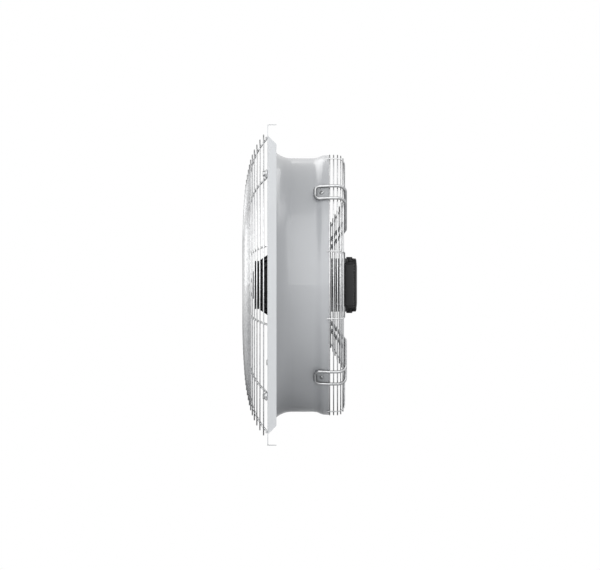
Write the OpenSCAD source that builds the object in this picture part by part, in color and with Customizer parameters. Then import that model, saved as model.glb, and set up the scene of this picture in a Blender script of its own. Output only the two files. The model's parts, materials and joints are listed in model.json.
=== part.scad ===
// Wall-mounted axial exhaust fan. The fan axis is Y: air enters at the domed guard (-Y) and leaves
// at the motor end (+Y). Z is up, and the origin lies on the axis in the front face of the wall plate.
// All sizes are in millimetres.

/* [Wall plate] */
// Width of the flat that stands out round the bell mouth on each side of the square wall plate
plate_border = 21.25; // [19:0.25:32]
// Thickness of the sheet that the plate and the nozzle are pressed from
sheet_t = 1.5; // [1:0.1:2]
// Depth of the folded rims behind the front face
rim_depth = 18.5; // [12:0.5:22]
// Radius of the plate's four corners
plate_corner_r = 22; // [12:1:24]
// Distance from a corner to where a folded rim begins
rim_setback = 24.6; // [24.6:0.2:34]
// Angle at which the ends of a rim are cut away
rim_end_angle = 45; // [40:1:60]
// Inside radius of the bend between plate and rim
rim_bend_r = 1.5; // [1:0.5:3]
// Distance of a wall bolt from the plate's edges
bolt_edge = 20; // [17:0.5:24]
// Diameter of a wall bolt hole
bolt_hole_d = 11; // [8:0.5:13]

/* [Nozzle duct] */
// Inside diameter of the throat that the impeller turns in
throat_d = 514.5; // [511:0.5:515]
// Radius of the bell mouth's front surface
bell_r = 49; // [40:1:50]
// Depth of the duct behind the front face of the plate
duct_len = 125.5; // [120:0.5:127]
// Radius of both curves of the outlet flare
flare_r = 25; // [20:1:28]
// Steepest angle of the outlet flare
flare_angle = 28; // [24:1:30]
// Angle of the flare's last, nearly straight band
flare_exit_angle = 4; // [3:1:6]
// Length of that last band
flare_exit_len = 9; // [7:1:11]

/* [Intake guard] */
// Diameter of the guard's ring wires
guard_ring_wire_d = 2.5; // [2:0.1:3.2]
// Diameter of the guard's radial wires
guard_spoke_wire_d = 4; // [3:0.1:4.6]
// Number of radial wires; those that point to the plate's corners are screwed down
guard_spokes = 12; // [4:8:20]
// Radial distance from the bell mouth's edge in to the outermost ring's centre
guard_inset = 0.35; // [0:0.05:3]
// Number of rings
guard_rings = 27; // [20:1:27]
// Radial distance from ring to ring
guard_pitch = 10.22; // [9.6:0.01:10.3]
// Height of the dome's flat middle over the plate, at the ring wires' centre
guard_height = 49.9; // [47:0.1:53]
// Radial width of the curved part of the dome, from its flat middle to the outermost ring
dome_w = 230.3; // [228:0.1:231]
// Radius of the thin disc at the middle of the guard
guard_disc_r = 29; // [24:0.5:33]
// Thickness of that disc
guard_disc_t = 2; // [1.5:0.1:3]
// Straight length of a screwed-down radial wire between its foot bend and its eye
eye_foot_len = 0.6; // [0.4:0.1:3]
// Thread diameter of the guard's screws
guard_screw_d = 6; // [5:0.5:6]

/* [Outlet guard] */
// Diameter of the outlet guard's rings and thin radial wires
basket_wire_d = 2.4; // [2:0.1:2.8]
// Depth of the outlet guard's flat face behind the duct's end, at the rings' centre
basket_depth = 29.5; // [27:0.1:33]
// Distance of the barrel rings' centres inside the duct's outer edge
basket_inset = 0.64; // [0:0.02:0.7]
// Bend radius between the barrel and the flat face, at the rings' centre
basket_bend_r = 12; // [10:0.5:13]
// Number of rings in the flat face
basket_face_ring_count = 9; // [7:1:9]
// Distance from ring to ring in the flat face
basket_pitch = 9.08; // [8.6:0.01:9.1]
// Width of the flat face between the barrel's bend and the face's outermost ring
basket_edge_w = 3.76; // [2:0.02:5]
// Width of the flat face inside its innermost ring
basket_lip_w = 1.8; // [1.2:0.1:3]
// Angle of the inner cone against the flat face
basket_cone_angle = 28.6; // [28:0.1:30]
// Number of rings on the inner cone
basket_cone_ring_count = 9; // [6:1:9]
// Angle between a thin radial wire and the nearest arm
basket_wire_step = 30; // [24:1:36]

/* [Motor arms] */
// Number of hairpin arms that carry the motor
arms = 4; // [4:4:8]
// Diameter of the arm wire
arm_wire_d = 6; // [5:0.2:6.6]
// Distance between the two wires of an arm at the duct
arm_spread = 34.8; // [32:0.2:38]
// Angle by which each wire closes in towards the motor
arm_taper = 2.35; // [1.5:0.05:2.6]
// Gap between the motor neck and the ends of the arm wires on the mounting plate
arm_foot_gap = 7.6; // [5:0.2:12]
// Length over which the hairpin end lies along the duct
arm_reach = 31.6; // [28:0.2:33]
// Bend radius of the hairpin's closed end
arm_end_r = 10; // [7:0.5:12]
// Thickness of the saddle under each hairpin end
saddle_t = 2; // [1.5:0.1:2.5]
// Depth of the saddle's front edge before the duct's end
saddle_reach = 24.5; // [23:0.5:26]
// Thread diameter of the arm screws
arm_screw_d = 5; // [4:0.5:6]

/* [Motor] */
// Outside diameter of the rotor drum
rotor_d = 138; // [134:1:142]
// Depth of the rotor's open end behind the plate's front face
rotor_back_y = 92; // [90:1:92]
// Height of the rotor's front face over the plate's front face
rotor_front = 26.3; // [24:0.1:28]
// Diameter of the rotor's front hub
rotor_hub_d = 98.4; // [92:0.2:104]
// Height of that front hub
rotor_hub_h = 9.9; // [8:0.1:12]
// Length of the rotor's conical shoulder
shoulder_len = 24.3; // [20:0.1:26]
// Wall thickness of the rotor
rotor_wall = 3; // [2.5:0.1:3.5]
// Number of cooling fins on the rotor's shoulder
rotor_fins = 18; // [12:1:24]
// Thickness of a cooling fin
fin_t = 2.5; // [2:0.1:3.5]
// Height of a cooling fin over the shoulder
fin_h = 5; // [3:0.5:6]
// Diameter of the motor shaft
shaft_d = 15; // [12:0.5:17]
// Outside diameter of the shaft bearings
bearing_d = 35; // [32:0.5:36]
// Width of a shaft bearing
bearing_w = 11; // [9:0.5:12]
// Air gap between stator core and rotor core
air_gap = 0.5; // [0.4:0.05:1]
// Width by which the stator flange stands out round the motor neck
flange_step = 18.6; // [17:0.2:20]
// Thickness of the stator flange
flange_t = 12; // [11:0.5:12]
// Width by which the round mounting plate between arms and motor stands out round the flange
carrier_step = 17; // [14:0.5:20]
// Thickness of the mounting plate
carrier_t = 3; // [2:0.5:3.5]
// Diameter of the hub cap
cap_d = 56; // [50:0.5:60]
// Height of the hub cap
cap_h = 4.3; // [3:0.1:5]

/* [Impeller blades] */
// Number of sickle blades
blades = 5; // [4:1:6]
// Gap between blade tips and throat
tip_gap = 4.8; // [4:0.1:8]
// Chord of a blade at the drum
root_chord_len = 92; // [80:1:94]
// Chord of a blade at its tip
tip_chord_len = 168; // [140:1:172]
// Pitch angle of a blade at the drum
root_pitch = 42; // [38:1:44]
// Pitch angle of a blade at its tip
tip_pitch = 21; // [18:1:24]
// Angle by which the tip leads the root
blade_sweep = 30; // [20:1:34]
// Thickness of a blade at its middle
blade_t = 4.2; // [3:0.1:5]
// Depth of the blades' middle behind the plate's front face
blade_y = 52; // [51:0.5:53]

/* [Terminal box] */
// Width and height of the terminal box
box_w = 109; // [106:1:114]
// Depth of the terminal box without its lid
box_depth = 18.8; // [18:0.2:22]
// Depth of the lid at its edge
lid_edge_t = 3.6; // [3.2:0.1:5]
// Rise of the lid's crowned face over its edge
lid_crown = 2.1; // [1:0.1:3]
// Radius of the box's corners
box_corner_r = 8; // [6:0.5:10]
// Wall thickness of the box
box_wall = 3; // [2.5:0.1:3.5]
// Diameter of a blanking plug's head
plug_d = 12.4; // [11:0.2:13]

/* [Hidden] */
$fn = 96;

// one overrun for all cuts, the gap that seated faces keep, and the slack of a screw in its hole
cut = 1;
seat = 0.02;
hole_slack = 0.6;
// Where a curved length of wire or sheet runs into another length of it, one of the two is thinner
// by this much on each side, and they reach this far into each other.
bend_thinning = 0.05;
weld_lap = 0.3;
// the gaps between curved sheets, and between the duct's end and the first ring behind it
sheet_gap = 0.1;
duct_gap = 0.3;
half_turn = 180;

// nozzle: the inner face's radii, and the centre of the flare's second curve
throat_r = throat_d / 2;
mouth_r = throat_r + bell_r;
duct_r = throat_r + sheet_t;
flare_y = duct_len - flare_exit_len * cos(flare_exit_angle)
    - (2 * flare_r + sheet_t) * sin(flare_angle) + (flare_r + sheet_t) * sin(flare_exit_angle);
flare_c_r = duct_r + flare_r - (2 * flare_r + sheet_t) * cos(flare_angle);
flare_c_y = flare_y + (2 * flare_r + sheet_t) * sin(flare_angle);
duct_end_r = flare_c_r + (flare_r + sheet_t) * cos(flare_exit_angle)
    + flare_exit_len * sin(flare_exit_angle);

// wall plate
half_w = mouth_r + plate_border;
plate_w = 2 * half_w;
bolt_pitch = plate_w - 2 * bolt_edge;
rim_bend_out = rim_bend_r + sheet_t;
rim_len = plate_w - 2 * rim_setback;
rim_end_cut = (rim_depth - rim_bend_out) / tan(rim_end_angle);

// screws: head and nut sizes as multiples of the thread diameter
hex_head_share = 0.67;
hex_flats_share = 1.67;
nut_share = 0.83;
pan_head_d_share = 1.7;
pan_head_h_share = 0.62;
washer_d_share = 2.3;

// intake guard: the ring wires' centres lie on arcs, each [radius, angle at its end]
guard_ring_r = mouth_r - guard_inset;
guard_flat_r = guard_ring_r - dome_w;
dome_middle_r = 1400;
dome_shoulder_r = 400;
dome_edge_r = 145;
dome_arcs = [[dome_middle_r, 4.6], [dome_shoulder_r, 13.5], [dome_edge_r, 44]];
guard_ring_w = guard_ring_wire_d / 2;
guard_spoke_w = guard_spoke_wire_d / 2;
guard_lay = guard_ring_w + guard_spoke_w + seat;
guard_outer_rings = 11;
guard_spoke_start = 13;
foot_bend_r = 7;
plain_foot_len = 2;
eye_slack = 2;
eye_r = guard_screw_d / 2 + guard_spoke_w + eye_slack;
eye_entry_r = 3.5;
eye_turn = acos(eye_entry_r / (eye_entry_r + eye_r));
eye_loop = 290;
washer_t = 1.6;

// where the dome's arc number i begins: [radius, y, angle]
function dome_at(i) = i == 0 ? [guard_flat_r, -guard_height, 0] :
    let (a = dome_at(i - 1), r = dome_arcs[i - 1][0], t = dome_arcs[i - 1][1])
    [a[0] + r * (sin(t) - sin(a[2])), a[1] + r * (cos(a[2]) - cos(t)), t];
// the dome's y at radius r, on the ring wires' centres
function dome_y(r, i = 0) =
    r <= guard_flat_r ? -guard_height :
    i < len(dome_arcs) - 1 && r > dome_at(i + 1)[0] ? dome_y(r, i + 1) :
    let (a = dome_at(i), big = dome_arcs[i][0], t = asin(min(1, sin(a[2]) + (r - a[0]) / big)))
    a[1] + big * (cos(a[2]) - cos(t));
// the last arc of a radial wire stops where its foot bend lays it on the plate
last_arc = dome_at(len(dome_arcs) - 1);
last_arc_r = dome_arcs[len(dome_arcs) - 1][0] - guard_lay;
last_arc_start = [last_arc[0] - guard_lay * sin(last_arc[2]), last_arc[1] + guard_lay * cos(last_arc[2])];
spoke_end_angle = acos((last_arc_start[1] + last_arc_r * cos(last_arc[2]) + foot_bend_r
    + guard_spoke_w + seat) / (last_arc_r + foot_bend_r));
spoke_foot_r = last_arc_start[0] + last_arc_r * (sin(spoke_end_angle) - sin(last_arc[2]))
    + foot_bend_r * sin(spoke_end_angle);
guard_screw_r = spoke_foot_r + eye_foot_len + (eye_entry_r + eye_r) * sin(eye_turn);
washer_y = -2 * guard_spoke_w - 2 * seat;
guard_nut_h = guard_screw_d * nut_share;
spoke_steps = concat(
    [[guard_flat_r - guard_spoke_start]],
    [for (i = [0 : len(dome_arcs) - 1]) each [
        [dome_arcs[i][0] - guard_lay, (i == len(dome_arcs) - 1 ? spoke_end_angle : dome_arcs[i][1])
            - (i == 0 ? 0 : dome_arcs[i - 1][1])],
        [0]
    ]],
    [[foot_bend_r, -spoke_end_angle]]
);

// earth screw on the plate, beside the guard
earth_edge = 37.5;
earth_x = half_w - earth_edge;
earth_z = -158;
earth_d = 6;
earth_head_d = 11.5;
earth_head_h = 2.2;

// outlet guard
basket_w = basket_wire_d / 2;
wire_lay = 2 * basket_w + seat;
basket_flat_y = duct_len + basket_depth;
basket_ring_r = duct_end_r - basket_inset;
basket_first_y = duct_len + basket_w + duct_gap;
basket_bend_y = basket_flat_y - basket_bend_r;
basket_bend_c_r = basket_ring_r - basket_bend_r;
basket_barrel_pitch = (basket_bend_y - basket_first_y) / 2;
basket_bend_rings = [33, 67];
basket_face_r = basket_bend_c_r - basket_edge_w - (basket_face_ring_count - 1) * basket_pitch;
basket_cone_r = basket_face_r - basket_lip_w;
basket_cone_lip_w = 7.2;
basket_cone_first_r = basket_cone_r - basket_cone_lip_w;
basket_cone_step = basket_pitch * cos(basket_cone_angle);
basket_wire_bend_r = 8;
basket_wire_back = 4.5;
basket_wire_end = 2.5;
function cone_corner(lay) = basket_cone_r - lay * tan(basket_cone_angle / 2);
wire_tangent = basket_wire_bend_r * tan(basket_cone_angle / 2);
wire_last_r = basket_cone_first_r - (basket_cone_ring_count - 1) * basket_cone_step - basket_wire_end;

// mounting plate and motor flange, from the intake side to the terminal box
flange_gap = 3;
flange_y = rotor_back_y + flange_gap;
flange_back_y = flange_y + flange_t;
carrier_y = flange_back_y + seat;
carrier_back_y = carrier_y + carrier_t;
neck_inset = 0.1;
neck_r = box_w / 2 - neck_inset;
neck_proud = 2.6;
neck_end_y = basket_flat_y + neck_proud;
flange_r = neck_r + flange_step;
carrier_r = flange_r + carrier_step;

// arms
arm_w = arm_wire_d / 2;
arm_lean = flare_exit_angle;
arm_foot_r = neck_r + arm_foot_gap;
arm_lay = arm_w + basket_w + seat;
arm_half = arm_spread / 2;
arm_rim_x = sqrt(pow(basket_ring_r + arm_lay, 2) - pow(arm_half, 2));
arm_flat_y = basket_flat_y + arm_lay;
arm_turn_r = basket_bend_r + arm_lay;
arm_kink_r = 20;
arm_bend_r = 8;
arm_foot_bend_r = 14;
arm_foot_y = carrier_back_y + arm_w + seat;
// the wires run beside the radial line, so their cone starts a little further in
arm_side = arm_half - (arm_rim_x - basket_cone_r) * tan(arm_taper);
arm_cone_x = cone_corner(arm_lay) - pow(arm_side, 2) / (2 * basket_cone_r);
arm_drop = arm_flat_y - arm_foot_y;
arm_foot_x = arm_cone_x - arm_drop / tan(basket_cone_angle);
arm_tangent = arm_bend_r * tan(basket_cone_angle / 2);
arm_foot_tangent = arm_foot_bend_r * tan(basket_cone_angle / 2);
arm_flat_len = (arm_rim_x - arm_turn_r - arm_cone_x) / cos(arm_taper) - arm_tangent;
arm_cone_len = arm_drop / sin(basket_cone_angle) - arm_tangent - arm_foot_tangent;
arm_foot_len = (arm_foot_x - arm_foot_r) / cos(arm_taper) - arm_foot_tangent;

// saddles and arm screws, square to the flare's second curve
saddle_from = asin((duct_len - saddle_reach - flare_y) / flare_r);
saddle_play = 1;
saddle_w = arm_spread - arm_wire_d - saddle_play;
saddle_half_angle = asin(saddle_w / 2 / duct_end_r);
saddle_inset = 1.5;
saddle_end_len = flare_exit_len - saddle_inset;
arm_screw_tilt = (flare_angle + flare_exit_angle) / 2 - 1;
arm_nut_gap = 0.6;
arm_nut_h = arm_screw_d * nut_share;
arm_head_gap = 0.2;

// motor
rotor_r = rotor_d / 2;
hub_r = rotor_hub_d / 2;
shoulder_y = -rotor_front + rotor_hub_h;
shoulder_step = 1.9;
shoulder_rise = 2.8;
shoulder_end_y = shoulder_y + shoulder_step + shoulder_len;
hub_edge = 1.5;
shaft_r = shaft_d / 2;
hub_boss_wall = 7;
hub_boss_r = shaft_r + hub_boss_wall;
bearing_r = bearing_d / 2;
tube_wall = 4.5;
tube_r = bearing_r + tube_wall;
bearing_shoulder = 3.5;
tube_in_r = bearing_r - bearing_shoulder;
tube_front_y = 4;
hub_gap = 5;
hub_boss_end_y = tube_front_y - hub_gap;
rear_seat_lead = 4;
rear_seat_y = flange_y - rear_seat_lead;
rear_seat_end_y = rear_seat_y + bearing_w + seat;
shaft_play = 1;
shaft_pocket_r = shaft_r + shaft_play;
shaft_end_y = rear_seat_end_y + shaft_play;
neck_wall = 5;
core_y = 24;
core_len = 46;
rotor_core_t = 5;
rotor_core_r = rotor_r - rotor_wall - rotor_core_t;
core_r = rotor_core_r - air_gap;
winding_len = 12;
winding_in_gap = 7;
winding_out_gap = 4;
winding_in_r = tube_r + winding_in_gap;
winding_out_r = core_r - winding_out_gap;
cap_r = cap_d / 2;
cap_screw_d = 5;
cap_screw_edge = 9;
cap_screw_r = cap_r - cap_screw_edge;
carrier_screw_d = 6;
carrier_screw_shift = 0.6;
carrier_screw_r = neck_r + flange_step / 2 + carrier_screw_shift;
carrier_screw_len = 9;

// blades
blade_root_gap = 0.2;
blade_root_r = rotor_r + blade_root_gap;
blade_tip_r = throat_r - tip_gap;
blade_stations = 14;
blade_steps = 11;
blade_camber_share = 0.07;

// terminal box
box_y = neck_end_y + seat;
box_half = box_w / 2;
gasket_t = 0.8;
lid_y = box_y + box_depth + gasket_t;
lid_slope_w = 17;
lid_pocket = 2.2;
lid_screw_d = 4;
lid_boss_r = 5.5;
lid_boss_lap = 1.5;
lid_screw_at = box_half - box_wall - lid_boss_r + lid_boss_lap;
lid_screw_len = 10;
lid_head_d = lid_screw_d * pan_head_d_share;
lid_inner_w = 2 * (lid_screw_at - lid_boss_r);
lid_sink = 1.4;
box_screw_d = 3;
box_screw_len = 9;
box_screw_at = (neck_r - neck_wall / 2) * cos(45);
cable_hole_d = 30;
plug_proud = 2.7;
plug_stem_share = 0.7;
block_w = 62;
block_depth = 20;
block_h = 12;
block_poles = 6;

// a shape drawn along Z is laid along the fan axis, its foot at depth y
module along_axis(y = 0) translate([0, y, 0]) rotate([-90, 0, 0]) children();

module around(count, first = 0)
    for (i = [0 : count - 1]) rotate([0, first + i * 360 / count, 0]) children();

module wire_ring(r, y, wire_r) along_axis(y) rotate_extrude() translate([r, 0]) circle(wire_r);

// A bent wire, laid out step by step in the XY plane from the origin along +X. A step of [length]
// is straight, and a step of [radius, angle] bends, to the left for a positive angle. A straight
// step reaches a little into the slightly thinner bends beside it, and goes on for first_lap or
// last_lap at an end of the wire. Children are placed at the end, looking along the wire.
module bent_wire(steps, wire_r, first_lap = 0, last_lap = 0, i = 0) {
    if (i < len(steps)) {
        s = steps[i];
        if (len(s) == 1) {
            before = i == 0 ? first_lap : weld_lap;
            after = i == len(steps) - 1 ? last_lap : weld_lap;
            translate([-before, 0, 0]) rotate([0, 90, 0]) cylinder(h = s[0] + before + after, r = wire_r);
            translate([s[0], 0, 0]) bent_wire(steps, wire_r, first_lap, last_lap, i + 1) children();
        } else {
            side = sign(s[1]);
            translate([0, side * s[0], 0])
                rotate([0, 0, side > 0 ? -90 : 90 + s[1]])
                rotate_extrude(angle = abs(s[1])) translate([s[0], 0]) circle(wire_r - bend_thinning);
            translate([s[0] * sin(abs(s[1])), side * s[0] * (1 - cos(s[1])), 0])
                rotate([0, 0, s[1]]) bent_wire(steps, wire_r, first_lap, last_lap, i + 1) children();
        }
    } else {
        children();
    }
}

module rounded_rect(w, h, r) {
    square([w - 2 * r, h], center = true);
    square([w, h - 2 * r], center = true);
    for (x = [-1, 1], y = [-1, 1]) translate([x * (w / 2 - r), y * (h / 2 - r)]) circle(r);
}

// the part of a flat ring between two angles, for the section of a curved sheet
module arc_band(r_in, r_out, from, to) {
    far = 2 * r_out;
    middle = (from + to) / 2;
    intersection() {
        difference() {
            circle(r_out);
            circle(r_in);
        }
        polygon([[0, 0], far * [cos(from), sin(from)], far * [cos(middle), sin(middle)],
            far * [cos(to), sin(to)]]);
    }
}

module hex_prism(flats, h) cylinder(h = h, r = flats / 2 / cos(30), $fn = 6);

// a screw from its head's seat at z = 0, the head up and the shank down
module hex_screw(d, shank) {
    hex_prism(d * hex_flats_share, d * hex_head_share);
    translate([0, 0, -shank]) cylinder(h = shank + seat, d = d);
}

module pan_screw(d, shank, head_d, head_h) {
    rise = head_h * 0.4;
    intersection() {
        cylinder(h = head_h, d = head_d);
        translate([0, 0, head_h - (pow(head_d / 2, 2) + pow(rise, 2)) / (2 * rise)])
            sphere(r = (pow(head_d / 2, 2) + pow(rise, 2)) / (2 * rise));
    }
    translate([0, 0, -shank]) cylinder(h = shank + seat, d = d);
}

module hex_nut(d, h) difference() {
    hex_prism(d * hex_flats_share, h);
    translate([0, 0, -cut]) cylinder(h = h + 2 * cut, d = d + 2 * seat);
}

// a folded rim on the plate's +Y side, in the plate's own plane
module rim() intersection() {
    translate([-rim_len / 2, 0, 0]) rotate([90, 0, 90]) linear_extrude(rim_len) {
        translate([half_w - rim_bend_out, rim_bend_out]) arc_band(rim_bend_r, rim_bend_out, -90, 0);
        translate([half_w - sheet_t, rim_bend_out]) square([sheet_t, rim_depth - rim_bend_out]);
    }
    translate([0, half_w + cut, 0]) rotate([90, 0, 0]) linear_extrude(rim_bend_out + 2 * cut)
        polygon([
            [-rim_len / 2, 0], [rim_len / 2, 0], [rim_len / 2, rim_bend_out],
            [rim_len / 2 - rim_end_cut, rim_depth], [-rim_len / 2 + rim_end_cut, rim_depth],
            [-rim_len / 2, rim_bend_out]
        ]);
}

module wall_plate() color([0.84, 0.85, 0.86]) along_axis() {
    difference() {
        linear_extrude(sheet_t) difference() {
            rounded_rect(plate_w, plate_w, plate_corner_r);
            circle(mouth_r + seat);
            for (a = [0 : 90 : 270]) rotate(a)
                translate([-rim_len / 2, half_w - rim_bend_out]) square([rim_len, rim_bend_out + cut]);
        }
        for (x = [-1, 1], y = [-1, 1]) {
            translate([x * bolt_pitch / 2, y * bolt_pitch / 2, -cut])
                cylinder(h = sheet_t + 2 * cut, d = bolt_hole_d);
            translate([x * guard_screw_r * cos(45), y * guard_screw_r * sin(45), -cut])
                cylinder(h = sheet_t + 2 * cut, d = guard_screw_d + hole_slack);
        }
        translate([earth_x, -earth_z, -cut]) cylinder(h = sheet_t + 2 * cut, d = earth_d + hole_slack);
    }
    for (a = [0 : 90 : 270]) rotate(a) rim();
}

// bell mouth, throat and outlet flare, each a curved or straight band turned about the axis
module nozzle_duct() color([0.66, 0.67, 0.68]) along_axis() difference() {
    union() {
        rotate_extrude() translate([mouth_r, bell_r]) arc_band(bell_r - sheet_t, bell_r, half_turn, 1.5 * half_turn);
        rotate_extrude() translate([throat_r, bell_r]) square([sheet_t, flare_y - bell_r]);
        rotate_extrude() translate([duct_r + flare_r, flare_y])
            arc_band(flare_r, flare_r + sheet_t, half_turn - flare_angle, half_turn);
        rotate_extrude() translate([flare_c_r, flare_c_y])
            arc_band(flare_r, flare_r + sheet_t, -flare_angle, -flare_exit_angle);
        rotate_extrude() translate([flare_c_r, flare_c_y]) rotate(-flare_exit_angle)
            translate([flare_r + bend_thinning, -weld_lap])
            square([sheet_t - 2 * bend_thinning, flare_exit_len + weld_lap]);
    }
    for (i = [0 : arms - 1]) rotate([0, 0, 45 + i * 360 / arms]) arm_screw_place()
        translate([0, 0, -2 * sheet_t]) cylinder(h = 4 * sheet_t, d = arm_screw_d + hole_slack);
}

// the outer surface's point under an arm screw, Z pointing square out of the duct, which lies along Z
module arm_screw_place() translate([flare_c_r, 0, flare_c_y]) rotate([0, 90 + arm_screw_tilt, 0])
    translate([0, 0, flare_r + sheet_t]) children();

module guard_rings_outer() color("silver")
    for (i = [0 : guard_outer_rings - 1]) wire_ring(
        guard_ring_r - i * guard_pitch, dome_y(guard_ring_r - i * guard_pitch), guard_ring_w);

module guard_rings_inner() color("silver")
    for (i = [guard_outer_rings : guard_rings - 1]) wire_ring(
        guard_ring_r - i * guard_pitch, dome_y(guard_ring_r - i * guard_pitch), guard_ring_w);

// a radial wire follows the dome behind the rings and ends flat on the plate
module guard_spoke_wires() color("silver")
    for (i = [0 : guard_spokes - 1]) {
        a = 45 + i * 360 / guard_spokes;
        rotate([0, a, 0]) translate([guard_spoke_start, -guard_height + guard_lay, 0])
            if (a % 90 == 45) bent_wire(concat(spoke_steps, [[eye_foot_len]]), guard_spoke_w, 0, weld_lap)
                rotate([90, 0, 0])
                bent_wire([[eye_entry_r, -eye_turn], [0], [eye_r, eye_loop]], guard_spoke_w);
            else bent_wire(concat(spoke_steps, [[plain_foot_len]]), guard_spoke_w);
    }

module guard_centre_disc() color("silver")
    along_axis(-guard_height + guard_lay - guard_spoke_w - seat - guard_disc_t)
    cylinder(h = guard_disc_t, r = guard_disc_r);

module guard_screw_places() around(4, 45) translate([guard_screw_r, 0, 0]) children();

module guard_screw_washers() color("gainsboro") guard_screw_places()
    along_axis(washer_y - washer_t) difference() {
        cylinder(h = washer_t, d = guard_screw_d * washer_d_share);
        translate([0, 0, -cut]) cylinder(h = washer_t + 2 * cut, d = guard_screw_d + hole_slack);
    }

module guard_screws() color("gainsboro") guard_screw_places()
    translate([0, washer_y - washer_t - seat, 0]) rotate([90, 0, 0])
    hex_screw(guard_screw_d, sheet_t + guard_nut_h + washer_t - washer_y + hole_slack);

module guard_screw_nuts() color("gainsboro") guard_screw_places()
    along_axis(sheet_t + seat) hex_nut(guard_screw_d, guard_nut_h);

module earth_place() translate([earth_x, 0, earth_z]) children();

module earth_screw() color("gainsboro") earth_place() translate([0, -seat, 0]) rotate([90, 0, 0])
    pan_screw(earth_d, sheet_t + earth_d * nut_share + hole_slack, earth_head_d, earth_head_h);

module earth_nut() color("gainsboro") earth_place() along_axis(sheet_t + seat)
    hex_nut(earth_d, earth_d * nut_share);

module basket_barrel_rings() color("silver") {
    for (i = [0 : 2]) wire_ring(basket_ring_r, basket_first_y + i * basket_barrel_pitch, basket_w);
    for (a = basket_bend_rings) wire_ring(basket_bend_c_r + basket_bend_r * cos(a),
        basket_bend_y + basket_bend_r * sin(a), basket_w);
}

module basket_face_rings() color("silver")
    for (i = [0 : basket_face_ring_count - 1])
        wire_ring(basket_face_r + i * basket_pitch, basket_flat_y, basket_w);

function cone_y(r) = basket_flat_y - (basket_cone_r - r) * tan(basket_cone_angle);
module basket_cone_rings() color("silver")
    for (i = [0 : basket_cone_ring_count - 1])
        wire_ring(basket_cone_first_r - i * basket_cone_step,
            cone_y(basket_cone_first_r - i * basket_cone_step), basket_w);

// a thin wire runs outside the rings from the duct's end over the face and down the cone
module basket_wires() color("silver")
    for (i = [0 : arms - 1], side = [-1, 1])
        rotate([0, 45 + i * 360 / arms + side * basket_wire_step, 0])
        translate([basket_ring_r + wire_lay, duct_len - basket_wire_back, 0]) rotate([0, 0, 90])
        bent_wire([
            [basket_bend_y - duct_len + basket_wire_back],
            [basket_bend_r + wire_lay, 90],
            [basket_bend_c_r - cone_corner(wire_lay) - wire_tangent],
            [basket_wire_bend_r, basket_cone_angle],
            [(cone_corner(wire_lay) - wire_last_r) / cos(basket_cone_angle) - wire_tangent]
        ], basket_w);

// One arm: two wires that start at the duct's end, one bent rearwards and inwards to the mounting
// plate, and both running back along the duct to the closed end that joins them.
module arm() for (side = [-1, 1]) translate([arm_rim_x, duct_len, side * arm_half]) {
    rotate([0, -side * arm_taper, 0]) rotate([0, 0, 90]) bent_wire([
        [arm_flat_y - arm_turn_r - duct_len],
        [arm_turn_r, 90],
        [arm_flat_len],
        [arm_bend_r, basket_cone_angle],
        [arm_cone_len],
        [arm_foot_bend_r, -basket_cone_angle],
        [arm_foot_len]
    ], arm_w, weld_lap);
    rotate([0, 0, -90]) bent_wire([
        [arm_kink_r, -arm_lean],
        [arm_reach - arm_kink_r * sin(arm_lean) - arm_end_r - arm_w]
    ], arm_w, 0, weld_lap)
        if (side < 0) rotate([90, 0, 0])
            bent_wire([[arm_end_r, 90], [arm_spread - 2 * arm_end_r], [arm_end_r, 90]], arm_w);
}

module motor_arms() color("silver") around(arms, 45) arm();

// a saddle is a sector of the flare's own curves, laid on the duct
module saddle_band() rotate_extrude(start = -saddle_half_angle, angle = 2 * saddle_half_angle) children();
module arm_saddles() color("gray") around(arms, 45) along_axis() difference() {
    union() {
        saddle_band() translate([duct_r + flare_r, flare_y])
            arc_band(flare_r - sheet_gap - saddle_t, flare_r - sheet_gap,
                half_turn - flare_angle, half_turn - saddle_from);
        saddle_band() translate([flare_c_r, flare_c_y]) arc_band(flare_r + sheet_t + sheet_gap,
            flare_r + sheet_t + sheet_gap + saddle_t, -flare_angle, -flare_exit_angle);
        saddle_band() translate([flare_c_r, flare_c_y]) rotate(-flare_exit_angle)
            translate([flare_r + sheet_t + sheet_gap + bend_thinning, -weld_lap])
            square([saddle_t - 2 * bend_thinning, saddle_end_len + weld_lap]);
    }
    arm_screw_place() translate([0, 0, -cut]) cylinder(h = saddle_t + 2 * cut, d = arm_screw_d + hole_slack);
}

module arm_screws() color("gainsboro") around(arms, 45) along_axis() arm_screw_place()
    translate([0, 0, saddle_t + arm_head_gap])
    pan_screw(arm_screw_d, saddle_t + sheet_t + arm_head_gap + arm_nut_gap + arm_nut_h + hole_slack,
        arm_screw_d * pan_head_d_share, arm_screw_d * pan_head_h_share);

module arm_nuts() color("gainsboro") around(arms, 45) along_axis() arm_screw_place()
    translate([0, 0, -sheet_t - arm_nut_gap - arm_nut_h]) hex_nut(arm_screw_d, arm_nut_h);

module carrier_screw_places() around(4) translate([carrier_screw_r, 0, 0]) children();

module carrier_plate() color("dimgray") difference() {
    along_axis(carrier_y) difference() {
        cylinder(h = carrier_t, r = carrier_r);
        translate([0, 0, -cut]) cylinder(h = carrier_t + 2 * cut, r = neck_r + seat);
    }
    carrier_screw_places() along_axis(carrier_y - cut)
        cylinder(h = carrier_t + 2 * cut, d = carrier_screw_d + hole_slack);
}

module carrier_screws() color("gainsboro") carrier_screw_places()
    translate([0, carrier_back_y + seat, 0]) rotate([-90, 0, 0])
    pan_screw(carrier_screw_d, carrier_t + carrier_screw_len,
        carrier_screw_d * pan_head_d_share, carrier_screw_d * pan_head_h_share);

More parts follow.
